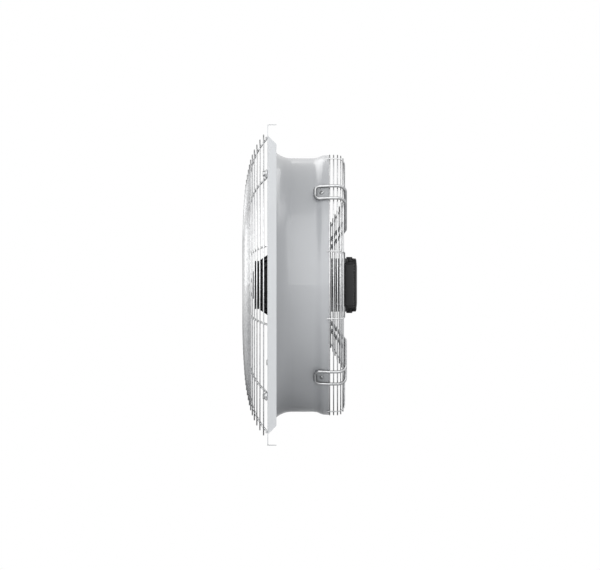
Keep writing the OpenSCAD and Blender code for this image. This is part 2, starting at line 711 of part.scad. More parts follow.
// flange, neck and bearing tube of the stator are one casting
module stator_flange() color([0.13, 0.13, 0.14]) difference() {
    along_axis() rotate_extrude() polygon([
        [0, shaft_end_y + seat], [shaft_pocket_r, shaft_end_y + seat],
        [shaft_pocket_r, rear_seat_end_y], [bearing_r + seat, rear_seat_end_y],
        [bearing_r + seat, rear_seat_y], [tube_in_r, rear_seat_y],
        [tube_in_r, tube_front_y + bearing_w + seat], [bearing_r + seat, tube_front_y + bearing_w + seat],
        [bearing_r + seat, tube_front_y], [tube_r, tube_front_y],
        [tube_r, flange_y], [flange_r, flange_y],
        [flange_r, flange_back_y], [neck_r, flange_back_y],
        [neck_r, neck_end_y], [neck_r - neck_wall, neck_end_y],
        [neck_r - neck_wall, flange_back_y], [0, flange_back_y]
    ]);
    carrier_screw_places() along_axis(flange_back_y - carrier_screw_len - hole_slack)
        cylinder(h = carrier_screw_len + hole_slack + cut, d = carrier_screw_d + 2 * seat);
    for (x = [-1, 1], z = [-1, 1]) translate([x * box_screw_at, 0, z * box_screw_at])
        along_axis(neck_end_y - box_screw_len) cylinder(h = box_screw_len + cut, d = box_screw_d + 2 * seat);
}

module stator_core() color("silver") along_axis(core_y) difference() {
    cylinder(h = core_len, r = core_r);
    translate([0, 0, -cut]) cylinder(h = core_len + 2 * cut, r = tube_r + seat);
}

// the winding heads at both ends of the core
module stator_windings() color([0.72, 0.45, 0.2])
    for (y = [core_y - winding_len - seat, core_y + core_len + seat]) along_axis(y) difference() {
        cylinder(h = winding_len, r = winding_out_r);
        translate([0, 0, -cut]) cylinder(h = winding_len + 2 * cut, r = winding_in_r);
    }

module bearing(y) along_axis(y) difference() {
    cylinder(h = bearing_w, r = bearing_r);
    translate([0, 0, -cut]) cylinder(h = bearing_w + 2 * cut, r = shaft_r + seat);
}
module front_bearing() color("lightgray") bearing(tube_front_y + seat / 2);
module rear_bearing() color("lightgray") bearing(rear_seat_y + seat / 2);

module plug_places() for (side = [-1, 1]) translate([0, box_y + box_depth / 2, side * box_half])
    rotate([side > 0 ? 0 : 180, 0, 0]) children();

module terminal_box() color([0.12, 0.12, 0.13]) difference() {
    along_axis(box_y) difference() {
        union() {
            difference() {
                linear_extrude(box_depth) rounded_rect(box_w, box_w, box_corner_r);
                translate([0, 0, box_wall]) linear_extrude(box_depth)
                    rounded_rect(box_w - 2 * box_wall, box_w - 2 * box_wall, box_corner_r - box_wall);
            }
            for (x = [-1, 1], y = [-1, 1]) translate([x * lid_screw_at, y * lid_screw_at, box_wall / 2])
                cylinder(h = box_depth - box_wall / 2, r = lid_boss_r);
        }
        translate([0, 0, -cut]) cylinder(h = box_wall + 2 * cut, d = cable_hole_d);
        for (x = [-1, 1], y = [-1, 1]) {
            translate([x * lid_screw_at, y * lid_screw_at, box_depth - lid_screw_len])
                cylinder(h = lid_screw_len + cut, d = lid_screw_d + 2 * seat);
            translate([x * box_screw_at, y * box_screw_at, -cut])
                cylinder(h = box_wall + 2 * cut, d = box_screw_d + hole_slack);
        }
    }
    plug_places() translate([0, 0, -box_wall - cut])
        cylinder(h = box_wall + 2 * cut, d = plug_d * plug_stem_share + 2 * seat);
}

module box_screws() color("gainsboro")
    for (x = [-1, 1], z = [-1, 1]) translate([x * box_screw_at, box_y + box_wall + seat, z * box_screw_at])
        rotate([-90, 0, 0]) pan_screw(box_screw_d, box_wall + box_screw_len - hole_slack,
            box_screw_d * pan_head_d_share, box_screw_d * pan_head_h_share);

module lid_gasket() color([0.2, 0.2, 0.2]) along_axis(box_y + box_depth + seat) difference() {
    linear_extrude(gasket_t - 2 * seat) difference() {
        rounded_rect(box_w - box_wall / 2, box_w - box_wall / 2, box_corner_r - box_wall / 4);
        rounded_rect(box_w - 2 * box_wall, box_w - 2 * box_wall, box_corner_r - box_wall);
    }
}

// the lid is a shallow tray under a crowned face, with screw heads sunk at its corners
module terminal_box_lid() color([0.1, 0.1, 0.11]) along_axis(lid_y) difference() {
    intersection() {
        linear_extrude(lid_edge_t + lid_crown) rounded_rect(box_w, box_w, box_corner_r);
        lid_slopes();
        rotate([0, 0, 90]) lid_slopes();
    }
    translate([0, 0, -cut]) linear_extrude(lid_pocket + cut)
        rounded_rect(box_w - 4 * box_wall, lid_inner_w, box_corner_r / 2);
    for (x = [-1, 1], y = [-1, 1]) translate([x * lid_screw_at, y * lid_screw_at, 0]) {
        translate([0, 0, -cut]) cylinder(h = lid_edge_t + lid_crown + 2 * cut, d = lid_screw_d + hole_slack);
        translate([0, 0, lid_edge_t - lid_sink])
            cylinder(h = lid_crown + lid_sink + cut, d = lid_head_d + hole_slack);
    }
}

// the lid's face slopes down along two opposite sides, and again along the other two
module lid_slopes() rotate([90, 0, 0]) linear_extrude(2 * box_w, center = true) polygon([
    [-box_half, -cut], [box_half, -cut], [box_half, lid_edge_t],
    [box_half - lid_slope_w, lid_edge_t + lid_crown], [-box_half + lid_slope_w, lid_edge_t + lid_crown],
    [-box_half, lid_edge_t]
]);

module lid_screws() color("gainsboro")
    for (x = [-1, 1], z = [-1, 1])
        translate([x * lid_screw_at, lid_y + lid_edge_t - lid_sink + seat, z * lid_screw_at])
        rotate([-90, 0, 0]) pan_screw(lid_screw_d, lid_edge_t + gasket_t + lid_screw_len / 2,
            lid_head_d, lid_screw_d * pan_head_h_share);

module blanking_plugs() color([0.08, 0.08, 0.09]) plug_places() {
    translate([0, 0, seat]) cylinder(h = plug_proud, d = plug_d);
    translate([0, 0, -box_wall - plug_proud]) cylinder(h = box_wall + plug_proud + 2 * seat,
        d = plug_d * plug_stem_share);
}

module terminal_block() color([0.85, 0.85, 0.8])
    translate([0, box_y + box_wall + seat, -box_half / 2]) difference() {
        translate([-block_w / 2, 0, -block_depth / 2]) cube([block_w, block_h, block_depth]);
        for (i = [0 : block_poles - 1])
            translate([(i - (block_poles - 1) / 2) * block_w / block_poles, block_h / 2, 0])
            along_axis() cylinder(h = block_h, d = block_depth / 4);
    }

module rotor_drum() color([0.12, 0.12, 0.13]) {
    along_axis() rotate_extrude() polygon([
        [shaft_r + seat, -rotor_front], [hub_r - hub_edge, -rotor_front],
        [hub_r, -rotor_front + hub_edge], [hub_r, shoulder_y + fin_h],
        [rotor_r, shoulder_end_y + fin_h], [rotor_r, rotor_back_y],
        [rotor_r - rotor_wall, rotor_back_y], [rotor_r - rotor_wall, shoulder_end_y + fin_h + rotor_wall],
        [hub_r - rotor_wall, shoulder_y + fin_h + rotor_wall], [hub_r - rotor_wall, -rotor_front + rotor_wall],
        [hub_boss_r, -rotor_front + rotor_wall], [hub_boss_r, hub_boss_end_y],
        [shaft_r + seat, hub_boss_end_y]
    ]);
    around(rotor_fins) linear_extrude(fin_t, center = true) polygon([
        [hub_r - rotor_wall / 2, shoulder_y], [hub_r + shoulder_rise, shoulder_y + shoulder_step],
        [rotor_r - seat, shoulder_end_y], [rotor_r - rotor_wall / 2, shoulder_end_y + fin_h],
        [hub_r - rotor_wall / 2, shoulder_y + fin_h]
    ]);
}

module rotor_core() color("silver") along_axis(core_y) difference() {
    cylinder(h = core_len, r = rotor_r - rotor_wall - seat);
    translate([0, 0, -cut]) cylinder(h = core_len + 2 * cut, r = rotor_core_r);
}

module rotor_shaft() color("lightgray") along_axis(-rotor_front)
    cylinder(h = rotor_front + shaft_end_y, r = shaft_r);

module cap_screw_places() around(3, 90) translate([cap_screw_r, 0, 0]) children();

module hub_cap() color([0.6, 0.61, 0.62]) difference() {
    along_axis(-rotor_front - seat - cap_h) difference() {
        cylinder(h = cap_h, r = cap_r);
        translate([0, 0, -cut]) cylinder(h = cap_h / 2 + cut, r = shaft_r);
    }
    cap_screw_places() along_axis(-rotor_front - cap_h - seat - cut)
        cylinder(h = cap_h + 2 * cut, d = cap_screw_d + hole_slack);
}

module hub_cap_screws() color("gainsboro") cap_screw_places()
    translate([0, -rotor_front - 2 * seat - cap_h, 0]) rotate([90, 0, 0])
    pan_screw(cap_screw_d, cap_h, cap_screw_d * pan_head_d_share, cap_screw_d * pan_head_h_share);

// A blade is lofted through sections wrapped on cylinders about the axis. t runs from root to tip,
// s along the chord from the leading edge to the trailing edge, and side is 1 on the suction face.
function blade_point(t, s, side) =
    let (
        r = blade_root_r + t * (blade_tip_r - blade_root_r),
        chord = root_chord_len + (tip_chord_len - root_chord_len) * t,
        pitch = root_pitch + (tip_pitch - root_pitch) * pow(t, 0.8),
        lead = blade_sweep * (1.4 * pow(t, 2) - 0.4 * t),
        off = chord * blade_camber_share * (1 - 4 * s * s)
            + side * blade_t / 2 * sqrt(max(0, 1 - pow(2 * s, 4))),
        ahead = -s * chord * cos(pitch) - off * sin(pitch),
        back = s * chord * sin(pitch) - off * cos(pitch),
        turn = lead + ahead / r * 180 / PI
    )
    [r * cos(turn), blade_y + back, -r * sin(turn)];

function blade_section(t) = concat(
    [for (j = [0 : blade_steps]) blade_point(t, (1 - cos(180 * j / blade_steps)) / 2 - 0.5, 1)],
    [for (j = [blade_steps - 1 : -1 : 1]) blade_point(t, (1 - cos(180 * j / blade_steps)) / 2 - 0.5, -1)]
);

module blade() {
    n = 2 * blade_steps;
    points = [for (i = [0 : blade_stations]) each blade_section(i / blade_stations)];
    skin = [for (i = [0 : blade_stations - 1], j = [0 : n - 1])
        let (a = i * n + j, b = i * n + (j + 1) % n) each [[a, b, b + n], [a, b + n, a + n]]];
    caps = [for (i = [0, blade_stations], j = [0 : blade_steps - 1])
        let (a = i * n + j, b = a + 1, c = i * n + (n - j - 1), d = i * n + (n - j) % n, up = i > 0)
        each concat(
            up ? [[a, b, c]] : [[c, b, a]],
            j > 0 ? (up ? [[a, c, d]] : [[d, c, a]]) : []
        )];
    polyhedron(points, concat(skin, [for (c = caps) if (c[0] != c[1] && c[1] != c[2] && c[0] != c[2]) c]));
}

module impeller_blades() color([0.14, 0.14, 0.15]) around(blades) blade();

wall_plate();
nozzle_duct();
guard_rings_outer();
guard_rings_inner();
guard_spoke_wires();
guard_centre_disc();
guard_screws();
guard_screw_washers();
guard_screw_nuts();
earth_screw();
earth_nut();
basket_barrel_rings();
basket_face_rings();
basket_cone_rings();
basket_wires();
motor_arms();
arm_saddles();
arm_screws();
arm_nuts();
carrier_plate();
carrier_screws();
stator_flange();
stator_core();
stator_windings();
front_bearing();
rear_bearing();
terminal_box();
box_screws();
terminal_box_lid();
lid_gasket();
lid_screws();
blanking_plugs();
terminal_block();
rotor_drum();
rotor_core();
rotor_shaft();
hub_cap();
hub_cap_screws();
impeller_blades();
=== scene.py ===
# %% [markdown]
# This script dresses an axial exhaust fan that is built on a square wall plate. Air enters through
# the domed wire guard, is pushed through the nozzle by five sickle blades, and leaves past the motor
# and its terminal box. The fan's solids come ready made, so the lesson is about three things: how
# to finish such a machine's sheet, wire, casting and plastic with procedural materials, how to add
# the small detail that machining and welding leave, and how to light it as a catalogue does.

# %% Load the solids and keep their box
import json
import math

import bmesh
import bpy
from mathutils import Matrix, Vector


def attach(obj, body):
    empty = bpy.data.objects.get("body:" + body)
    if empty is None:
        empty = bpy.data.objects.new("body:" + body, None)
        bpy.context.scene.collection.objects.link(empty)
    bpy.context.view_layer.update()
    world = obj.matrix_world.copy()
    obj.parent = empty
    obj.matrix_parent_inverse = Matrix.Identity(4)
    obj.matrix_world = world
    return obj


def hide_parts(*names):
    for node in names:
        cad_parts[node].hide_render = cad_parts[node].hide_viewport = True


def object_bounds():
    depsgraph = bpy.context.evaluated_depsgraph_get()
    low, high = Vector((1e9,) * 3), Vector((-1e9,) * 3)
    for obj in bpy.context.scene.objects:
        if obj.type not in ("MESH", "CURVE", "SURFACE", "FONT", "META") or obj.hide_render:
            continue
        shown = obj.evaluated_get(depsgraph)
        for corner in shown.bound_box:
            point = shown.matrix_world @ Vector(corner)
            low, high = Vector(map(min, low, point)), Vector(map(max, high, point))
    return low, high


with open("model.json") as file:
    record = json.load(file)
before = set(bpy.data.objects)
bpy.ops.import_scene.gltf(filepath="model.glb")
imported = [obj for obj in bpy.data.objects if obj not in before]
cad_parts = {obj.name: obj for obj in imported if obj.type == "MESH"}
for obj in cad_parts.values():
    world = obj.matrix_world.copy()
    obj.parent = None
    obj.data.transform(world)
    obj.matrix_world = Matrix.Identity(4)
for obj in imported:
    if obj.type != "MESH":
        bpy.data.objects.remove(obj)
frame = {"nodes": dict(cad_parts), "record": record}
solids = frame["nodes"]
cad_low, cad_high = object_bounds()
mm = 0.001
print("solids:", len(solids), "box:", [round(v, 4) for v in (*cad_low, *cad_high)])

# %% [markdown]
# The photograph looks at the fan from its right side, straight along the wall. Its rings show no
# perspective at all, so the camera is orthographic. One pixel covers 2.04 mm of the fan, and the
# picture is 600 pixels wide, which gives the camera's scale directly.

# %% Place the camera
pixel = 2.04 * mm
picture_width = 600
picture_middle = 66.5 * mm
camera_distance = 3
sight_end = 20
camera_data = bpy.data.cameras.new("catalogue_camera")
camera_data.type = "ORTHO"
camera_data.ortho_scale = picture_width * pixel
camera_data.clip_end = sight_end
camera = bpy.data.objects.new("catalogue_camera", camera_data)
camera.location = (camera_distance, picture_middle, 0)
camera.rotation_euler = (math.radians(90), 0, math.radians(90))
bpy.context.scene.collection.objects.link(camera)
bpy.context.scene.camera = camera
print("camera width in metres:", round(camera_data.ortho_scale, 3))

# %% [markdown]
# Node trees are built in three steps all through this script: the nodes are added, their fixed
# values are set, and their sockets are joined. Three short helpers keep that readable.

# %% Write the helpers for node trees
def add(tree, kind, **settings):
    node = tree.nodes.new(kind)
    for name, value in settings.items():
        setattr(node, name, value)
    return node


def fill(node, values):
    for socket, value in values.items():
        node.inputs[socket].default_value = value


def join(tree, *links):
    for tail, head in links:
        tree.links.new(tail, head)


# %% [markdown]
# A catalogue photographer puts such a fan on a pale sweep between large soft lamps. The picture's
# background is pure white, and that must not come from more light on the fan. So the world shows
# white only to camera, mirror and glass rays, and lights matt surfaces at a lower level.

# %% Make the white surroundings
sky_tint = (0.96, 0.98, 1.0, 1)
sky_strength = 0.36
bpy.context.scene.view_settings.view_transform = "Standard"
world = bpy.data.worlds.new("studio")
bpy.context.scene.world = world
world.use_nodes = True
tree = world.node_tree
tree.nodes.clear()
rays = add(tree, "ShaderNodeLightPath")
seen = add(tree, "ShaderNodeMath", operation="MAXIMUM")
seen_or_glass = add(tree, "ShaderNodeMath", operation="MAXIMUM")
ambient = add(tree, "ShaderNodeBackground")
fill(ambient, {"Color": sky_tint, "Strength": sky_strength})
white = add(tree, "ShaderNodeBackground")
fill(white, {"Color": (1, 1, 1, 1)})
choose = add(tree, "ShaderNodeMixShader")
world_output = add(tree, "ShaderNodeOutputWorld")
join(
    tree,
    (rays.outputs["Is Camera Ray"], seen.inputs[0]),
    (rays.outputs["Is Glossy Ray"], seen.inputs[1]),
    (seen.outputs[0], seen_or_glass.inputs[0]),
    (rays.outputs["Is Transmission Ray"], seen_or_glass.inputs[1]),
    (seen_or_glass.outputs[0], choose.inputs["Fac"]),
    (ambient.outputs[0], choose.inputs[1]),
    (white.outputs[0], choose.inputs[2]),
    (choose.outputs[0], world_output.inputs["Surface"]),
)
print("world nodes:", len(tree.nodes))

# %% [markdown]
# The large lamp beside the camera gives the duct its broad light band and its fall into grey below.
# A round duct shows each lamp as a bright line along its length, so the other three are placed by
# where that line falls: two from the outlet side brighten the bell mouth, and one from the inlet
# side lies along the flare. Sizes and places are in metres, power in watts.

# %% Hang the soft lamps
def soft_lamp(name, place, aim, width, height, power, roll=0):
    data = bpy.data.lights.new(name, "AREA")
    data.shape = "RECTANGLE"
    data.size = width
    data.size_y = height
    data.energy = power
    lamp = bpy.data.objects.new(name, data)
    lamp.location = place
    looking = (Vector(aim) - Vector(place)).to_track_quat("-Z", "Y").to_matrix()
    lamp.rotation_euler = (looking @ Matrix.Rotation(math.radians(roll), 3, "Z")).to_euler()
    bpy.context.scene.collection.objects.link(lamp)


soft_lamp("side_softbox", place=(1.81, -0.46, 1.15), aim=(0, 0.06, 0), width=3.0, height=3.0, power=42)
soft_lamp("rear_top_softbox", place=(0.5, 1.3, 2.0), aim=(0, 0.06, 0.1), width=0.9, height=0.9, power=4)
soft_lamp("rear_strip", place=(-0.55, 1.45, 1.6), aim=(0, 0.03, 0), width=2.3, height=0.5, power=7)
soft_lamp("front_strip", place=(-1.5, -0.85, 1.35), aim=(0, 0.1, 0), width=1.7, height=1.5, power=12,
          roll=40)

# %% [markdown]
# The plate stands on a pale floor. Seen straight from the side the floor is a line, but it catches
# the shadow in every other view, and it throws a little light back up under the nozzle. Further out
# the floor turns into white paper for the eye and for mirrors, so that no horizon shows. An eye
# below the floor looks through it, so that the fan can be seen from underneath too.

# %% Lay the floor
floor_half_width = 4
floor_grey = (0.86, 0.86, 0.86, 1)
floor_rough = 0.8
paper_from, paper_full = 0.5, 1.9
floor_mesh = bpy.data.meshes.new("floor")
bm = bmesh.new()
bmesh.ops.create_grid(bm, x_segments=1, y_segments=1, size=floor_half_width)
bmesh.ops.translate(bm, vec=(0, 0, cad_low.z), verts=bm.verts)
bm.to_mesh(floor_mesh)
bm.free()
floor = bpy.data.objects.new("floor", floor_mesh)
bpy.context.scene.collection.objects.link(floor)
floor_finish = bpy.data.materials.new("pale_floor")
floor_finish.use_nodes = True
tree = floor_finish.node_tree
floor_shader = tree.nodes["Principled BSDF"]
fill(floor_shader, {"Base Color": floor_grey, "Roughness": floor_rough})
place = add(tree, "ShaderNodeTexCoord")
reach = add(tree, "ShaderNodeVectorMath", operation="LENGTH")
fade = add(tree, "ShaderNodeMapRange", interpolation_type="SMOOTHSTEP")
fill(fade, {"From Min": paper_from, "From Max": paper_full})
rays = add(tree, "ShaderNodeLightPath")
mirror_or_eye = add(tree, "ShaderNodeMath", operation="MAXIMUM")
far_and_seen = add(tree, "ShaderNodeMath", operation="MULTIPLY")
paper = add(tree, "ShaderNodeEmission")
choose = add(tree, "ShaderNodeMixShader")
side = add(tree, "ShaderNodeNewGeometry")
eye_below = add(tree, "ShaderNodeMath", operation="MULTIPLY")
clear = add(tree, "ShaderNodeBsdfTransparent")
let_through = add(tree, "ShaderNodeMixShader")
join(
    tree,
    (place.outputs["Object"], reach.inputs[0]),
    (reach.outputs["Value"], fade.inputs["Value"]),
    (rays.outputs["Is Camera Ray"], mirror_or_eye.inputs[0]),
    (rays.outputs["Is Glossy Ray"], mirror_or_eye.inputs[1]),
    (fade.outputs[0], far_and_seen.inputs[0]),
    (mirror_or_eye.outputs[0], far_and_seen.inputs[1]),
    (far_and_seen.outputs[0], choose.inputs["Fac"]),
    (floor_shader.outputs[0], choose.inputs[1]),
    (paper.outputs[0], choose.inputs[2]),
    (side.outputs["Backfacing"], eye_below.inputs[0]),
    (rays.outputs["Is Camera Ray"], eye_below.inputs[1]),
    (eye_below.outputs[0], let_through.inputs["Fac"]),
    (choose.outputs[0], let_through.inputs[1]),
    (clear.outputs[0], let_through.inputs[2]),
    (let_through.outputs[0], tree.nodes["Material Output"].inputs["Surface"]),
)
floor_mesh.materials.append(floor_finish)
print("floor at height:", round(cad_low.z, 4))

# %% [markdown]
# Most finishes here share one thing: a fine relief on top of a slow, cloudy change of tone. Powder
# coat has it as orange peel, a casting as grain, moulded plastic as spark-eroded texture. It is made
# once, as a shader node group. Its inputs set how fine the relief and how wide the clouds are, and
# its outputs are plain values, which each material then uses in its own way. Dust settles where a
# face looks up, so that mask starts at a certain upward tilt.

# %% Build the shared relief group
dust_from_tilt = 0.55
relief_group = bpy.data.node_groups.new("surface_relief", "ShaderNodeTree")
for name, way in (("Relief Scale", "INPUT"), ("Cloud Scale", "INPUT"),
                  ("Height", "OUTPUT"), ("Cloud", "OUTPUT"), ("Dust", "OUTPUT")):
    relief_group.interface.new_socket(name, in_out=way, socket_type="NodeSocketFloat")
group_in = add(relief_group, "NodeGroupInput")
group_out = add(relief_group, "NodeGroupOutput")
place = add(relief_group, "ShaderNodeTexCoord")
fine = add(relief_group, "ShaderNodeTexNoise")
fill(fine, {"Detail": 3, "Roughness": 0.6})
cloud = add(relief_group, "ShaderNodeTexNoise")
fill(cloud, {"Detail": 4})
facing = add(relief_group, "ShaderNodeNewGeometry")
upward = add(relief_group, "ShaderNodeSeparateXYZ")
settled = add(relief_group, "ShaderNodeMapRange")
fill(settled, {"From Min": dust_from_tilt, "From Max": 1.0})
dusty = add(relief_group, "ShaderNodeMath", operation="MULTIPLY")
join(
    relief_group,
    (place.outputs["Object"], fine.inputs["Vector"]),
    (place.outputs["Object"], cloud.inputs["Vector"]),
    (group_in.outputs["Relief Scale"], fine.inputs["Scale"]),
    (group_in.outputs["Cloud Scale"], cloud.inputs["Scale"]),
    (fine.outputs[0], group_out.inputs["Height"]),
    (cloud.outputs[0], group_out.inputs["Cloud"]),
    (facing.outputs["Normal"], upward.inputs[0]),
    (upward.outputs["Z"], settled.inputs["Value"]),
    (settled.outputs[0], dusty.inputs[0]),
    (cloud.outputs[0], dusty.inputs[1]),
    (dusty.outputs[0], group_out.inputs["Dust"]),
)
print("relief group nodes:", len(relief_group.nodes))

# %% [markdown]
# One function lays a painted or moulded skin. The tone moves a few percent with the clouds, the
# roughness moves with the fine relief, and a bump carries the relief itself. Dust lies very thinly
# on faces that look up. Values that are the same everywhere go straight onto the shader's sockets.

# %% Write the recipe for painted and moulded skins
dust_colour = (0.62, 0.6, 0.57, 1)
tone_change = 0.05
gloss_change = 0.15
coat_rough = 0.12


def shade(colour, share):
    return (*[min(1, channel * share) for channel in colour], 1)


def skin(name, colour, rough, relief, cloud_scale=9, bump=0.15, depth=0.00006, coat=0.0, dust=0.05,
         specular=0.5):
    material = bpy.data.materials.new(name)
    material.use_nodes = True
    tree = material.node_tree
    shader = tree.nodes["Principled BSDF"]
    surface = add(tree, "ShaderNodeGroup", node_tree=relief_group)
    fill(surface, {"Relief Scale": relief, "Cloud Scale": cloud_scale})
    tone = add(tree, "ShaderNodeMix", data_type="RGBA")
    fill(tone, {6: shade(colour, 1 - tone_change), 7: shade(colour, 1 + tone_change)})
    dusted = add(tree, "ShaderNodeMix", data_type="RGBA")
    fill(dusted, {7: dust_colour})
    thin = add(tree, "ShaderNodeMath", operation="MULTIPLY")
    fill(thin, {1: dust})
    gloss = add(tree, "ShaderNodeMapRange")
    fill(gloss, {"To Min": rough * (1 - gloss_change), "To Max": min(1, rough * (1 + gloss_change))})
    relief_bump = add(tree, "ShaderNodeBump")
    fill(relief_bump, {"Strength": bump, "Distance": depth})
    join(
        tree,
        (surface.outputs["Cloud"], tone.inputs[0]),
        (tone.outputs[2], dusted.inputs[6]),
        (surface.outputs["Dust"], thin.inputs[0]),
        (thin.outputs[0], dusted.inputs[0]),
        (dusted.outputs[2], shader.inputs["Base Color"]),
        (surface.outputs["Height"], gloss.inputs["Value"]),
        (gloss.outputs[0], shader.inputs["Roughness"]),
        (surface.outputs["Height"], relief_bump.inputs["Height"]),
        (relief_bump.outputs[0], shader.inputs["Normal"]),
    )
    fill(shader, {"Coat Weight": coat, "Coat Roughness": coat_rough, "Specular IOR Level": specular})
    return material


# %% [markdown]
# The plate and the nozzle have a light and a mid grey powder coat, and the nozzle's is the glossier.
# The motor's castings are painted a deep black with a coarse grain, and the terminal box, lid and
# plugs are black mouldings. Black surfaces also reflect less here than usual, because the white
# surroundings would otherwise turn them grey at their edges.

# %% Lay the painted and moulded finishes
finishes = {
    "plate_steel": skin("plate_powder_coat", (0.6, 0.612, 0.625), 0.42, 900),
    "duct_steel": skin("duct_powder_coat", (0.46, 0.47, 0.485), 0.3, 800, coat=0.4),
    "saddle_plate": skin("saddle_coat", (0.42, 0.43, 0.44), 0.38, 900),
    "carrier_steel": skin("carrier_coat", (0.07, 0.07, 0.075), 0.45, 700),
    "stator_casting": skin("stator_black_paint", (0.01, 0.01, 0.0105), 0.42, 500, bump=0.3,
                           depth=0.00012, dust=0.02, specular=0.25),
    "rotor_casting": skin("rotor_black_paint", (0.009, 0.009, 0.0095), 0.45, 450, bump=0.35,
                          depth=0.00015, dust=0.02, specular=0.2),
    "box_plastic": skin("box_moulding", (0.018, 0.018, 0.0185), 0.5, 1500, bump=0.25, dust=0.03,
                        specular=0.3),
    "lid_plastic": skin("lid_moulding", (0.016, 0.016, 0.0165), 0.48, 1500, bump=0.25, dust=0.03,
                        specular=0.3),
    "plug_plastic": skin("plug_moulding", (0.014, 0.014, 0.0145), 0.4, 1600, specular=0.3),
    "block_plastic": skin("block_moulding", (0.72, 0.70, 0.62), 0.45, 1400, dust=0.0),
    "cap_plastic": skin("hub_cap_moulding", (0.2, 0.205, 0.21), 0.42, 1400),
    "blade_plastic": skin("blade_moulding", (0.016, 0.016, 0.0175), 0.38, 700, cloud_scale=16, bump=0.2,
                          specular=0.35),
    "gasket_rubber": skin("gasket_rubber", (0.012, 0.012, 0.012), 0.7, 1200, bump=0.3),
}
print("painted and moulded finishes:", len(finishes))

# %% [markdown]
# The guards, arms and screws are zinc-plated steel. Fresh zinc is a bright metal with faint patches
# where the passivation is thicker, and drawn wire carries very fine scratches. The patches come
# from a cell pattern, which changes the tone, while the clouds change the roughness. The metal is
# fully metallic, so its brightness comes from the white surroundings that it reflects. The dark edge
# tint is painted shade: it darkens every glancing reflection in place of darker surroundings.

# %% Write the recipe for plated and bare metal
metal_cloud_scale = 30
metal_gloss_change = 0.3
scratch_strength, scratch_depth = 0.12, 0.00002


def metal(name, colour, rough, patch_scale=260, scratch_scale=2200, patch_depth=0.12, painted_edge_shade=0.12):
    material = bpy.data.materials.new(name)
    material.use_nodes = True
    tree = material.node_tree
    shader = tree.nodes["Principled BSDF"]
    # The edge tint is painted shade on glancing reflections, not a property of the zinc.
    fill(shader, {"Metallic": 1, "Specular Tint": (painted_edge_shade, painted_edge_shade, painted_edge_shade, 1)})
    place = add(tree, "ShaderNodeTexCoord")
    patches = add(tree, "ShaderNodeTexVoronoi")
    fill(patches, {"Scale": patch_scale})
    surface = add(tree, "ShaderNodeGroup", node_tree=relief_group)
    fill(surface, {"Relief Scale": scratch_scale, "Cloud Scale": metal_cloud_scale})
    patch_value = add(tree, "ShaderNodeSeparateColor")
    tone = add(tree, "ShaderNodeMix", data_type="RGBA")
    fill(tone, {6: shade(colour, 1 - patch_depth), 7: shade(colour, 1 + patch_depth)})
    gloss = add(tree, "ShaderNodeMapRange")
    fill(gloss, {"To Min": rough * (1 - metal_gloss_change), "To Max": rough * (1 + metal_gloss_change)})
    scratches = add(tree, "ShaderNodeBump")
    fill(scratches, {"Strength": scratch_strength, "Distance": scratch_depth})
    join(
        tree,
        (place.outputs["Object"], patches.inputs["Vector"]),
        (patches.outputs["Color"], patch_value.inputs[0]),
        (patch_value.outputs[0], tone.inputs[0]),
        (tone.outputs[2], shader.inputs["Base Color"]),
        (surface.outputs["Cloud"], gloss.inputs["Value"]),
        (gloss.outputs[0], shader.inputs["Roughness"]),
        (surface.outputs["Height"], scratches.inputs["Height"]),
        (scratches.outputs[0], shader.inputs["Normal"]),
    )
    return material


finishes["guard_wire"] = metal("guard_zinc_wire", (0.74, 0.745, 0.75), 0.3)
finishes["basket_wire"] = metal("basket_zinc_wire", (0.64, 0.645, 0.65), 0.3)
# The arms' wire is set darker as painted shade, for the shade of the duct and motor that the arms reach
# into.
finishes["arm_wire"] = metal("arm_zinc_wire_painted_shade", (0.46, 0.465, 0.47), 0.3)
finishes["zinc_fasteners"] = metal("fastener_zinc", (0.42, 0.425, 0.43), 0.3)
finishes["bearing_steel"] = metal("ground_steel", (0.6, 0.6, 0.61), 0.2, patch_depth=0.04)
finishes["lamination_steel"] = metal("lamination_steel", (0.3, 0.31, 0.33), 0.4, patch_depth=0.05)
finishes["copper_winding"] = metal("varnished_copper", (0.62, 0.28, 0.12), 0.35, patch_scale=900)
welds = metal("weld_zinc", (0.5, 0.5, 0.5), 0.42, patch_scale=500)
print("finishes in all:", len(finishes))

# %% [markdown]
# The record names the finish of each solid as a material slot. Reading it there, and not writing the
# list again, keeps the dressed fan and the solids in step.

# %% Give every solid its finish
slot_of = {part["node"]: part["material_slot"] for part in frame["record"]["subparts"]}
for name, solid in solids.items():
    for material_slot in solid.material_slots:
        material_slot.material = finishes[slot_of[name]]
print("finished solids:", len(slot_of))

# %% [markdown]
# New pieces all end the same way: their normals are made consistent, their flat and round faces
# are told apart by the angle between them, and they ride on the body that carries them. A pocket in
# the outermost corner can mislead the normals' direction, so the signed volume tells whether they
# point inwards, and then all are turned round. The helpers above that step work in millimetres, and
# much of the fan repeats at four angles, over the plate's corners.

# %% Write the last step of every new piece
quarter_angles = (45, 135, 225, 315)


def about_axis(degrees):
    return Matrix.Rotation(math.radians(degrees), 4, "Y")


def at(x, y, z):
    return Matrix.Translation((x * mm, y * mm, z * mm))


def stretched(x, y, z):
    return Matrix.Diagonal((x * mm, y * mm, z * mm, 1))


def soften(bm, edges, radius, segments):
    bmesh.ops.bevel(bm, geom=edges, offset=radius * mm, offset_type="OFFSET", segments=segments,
                    profile=0.5, affect="EDGES", clamp_overlap=False, material=-1)


